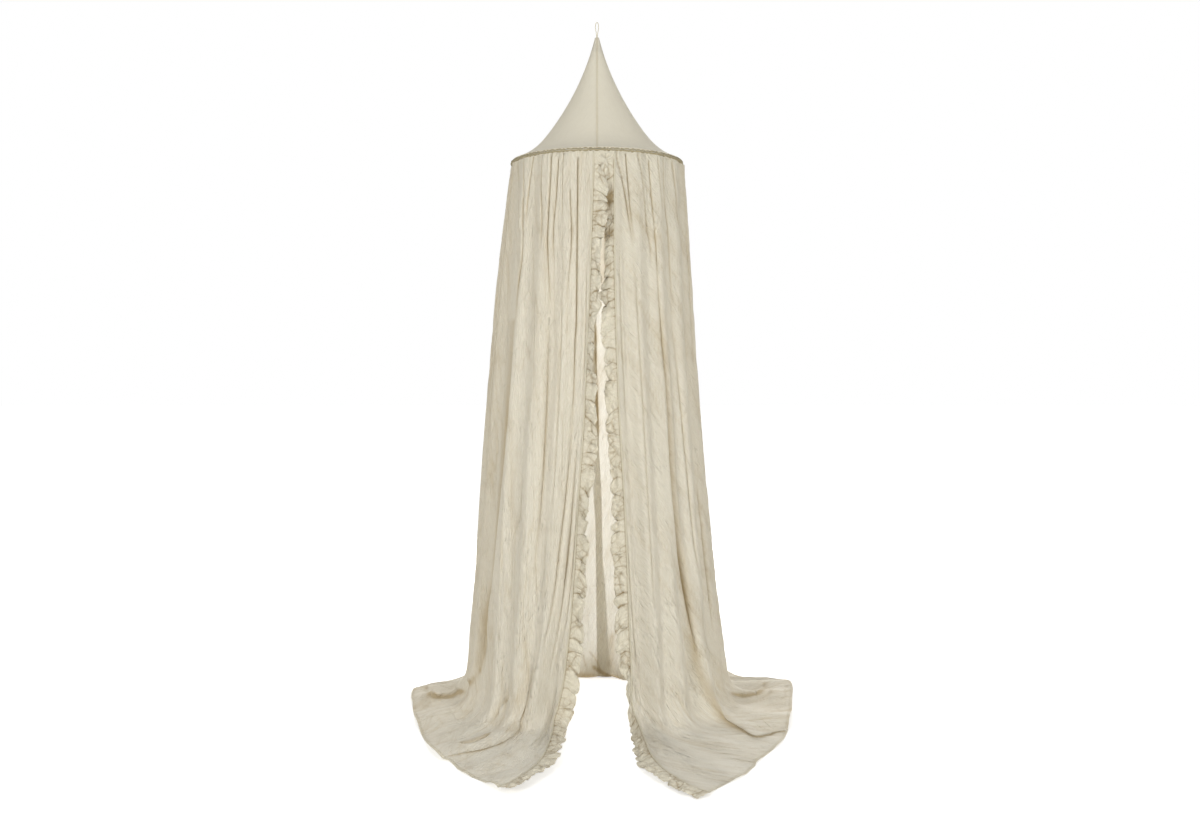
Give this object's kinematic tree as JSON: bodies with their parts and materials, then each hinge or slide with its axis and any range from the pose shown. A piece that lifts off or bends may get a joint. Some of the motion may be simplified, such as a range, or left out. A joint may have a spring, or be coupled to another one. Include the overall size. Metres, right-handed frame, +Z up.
{
  "type": "bed crown canopy",
  "caption": "Hanging cotton bed canopy: trumpet-shaped roof over a hoop, long gathered curtain with a frilled front opening, trains on the floor, cord loop on top.",
  "frame": {"origin": "the point inside the hanging loop where a hook bears", "axes": "+Z up, the front opening faces -Y, +X to the right of a viewer who looks at the opening"},
  "size_m": [1.1542, 1.4577, 1.9984],
  "materials": {
    "curtain_cotton": "matte",
    "roof_cotton": "matte",
    "frill_cotton": "matte",
    "casing_cotton": "matte",
    "loop_cord": "matte",
    "hoop_rod": "satin",
    "hoop_sleeve": "satin"
  },
  "bodies": {
    "hanger": {"hanging_loop": "loop_cord", "loop_knot": "loop_cord"},
    "canopy": {"peak_lining": "roof_cotton", "roof_front_left": "roof_cotton", "roof_front_right": "roof_cotton", "roof_back_left": "roof_cotton", "roof_back_right": "roof_cotton", "hoop_casing": "casing_cotton", "hoop_rod_left": "hoop_rod", "hoop_rod_right": "hoop_rod", "hoop_sleeve_front": "hoop_sleeve", "hoop_sleeve_back": "hoop_sleeve", "left_side_curtain": "curtain_cotton", "left_back_curtain": "curtain_cotton", "right_back_curtain": "curtain_cotton", "right_side_curtain": "curtain_cotton"},
    "left_curtain": {"left_front_curtain": "curtain_cotton", "left_frill": "frill_cotton"},
    "right_curtain": {"right_front_curtain": "curtain_cotton", "right_frill": "frill_cotton"}
  },
  "joints": [
    {"name": "canopy_swivel", "type": "hinge", "parent": "hanger", "child": "canopy", "pos_m": [0, 0, 0], "axis": [0, 0, 1], "range_deg": [-90, 90]},
    {"name": "left_open", "type": "hinge", "parent": "canopy", "child": "left_curtain", "pos_m": [0, 0, 0], "axis": [0, 0, -1], "range_deg": [0, 45], "deforming": ["left_side_curtain"]},
    {"name": "right_open", "type": "hinge", "parent": "canopy", "child": "right_curtain", "pos_m": [0, 0, 0], "axis": [0, 0, 1], "range_deg": [0, 45], "deforming": ["right_side_curtain"]}
  ]
}
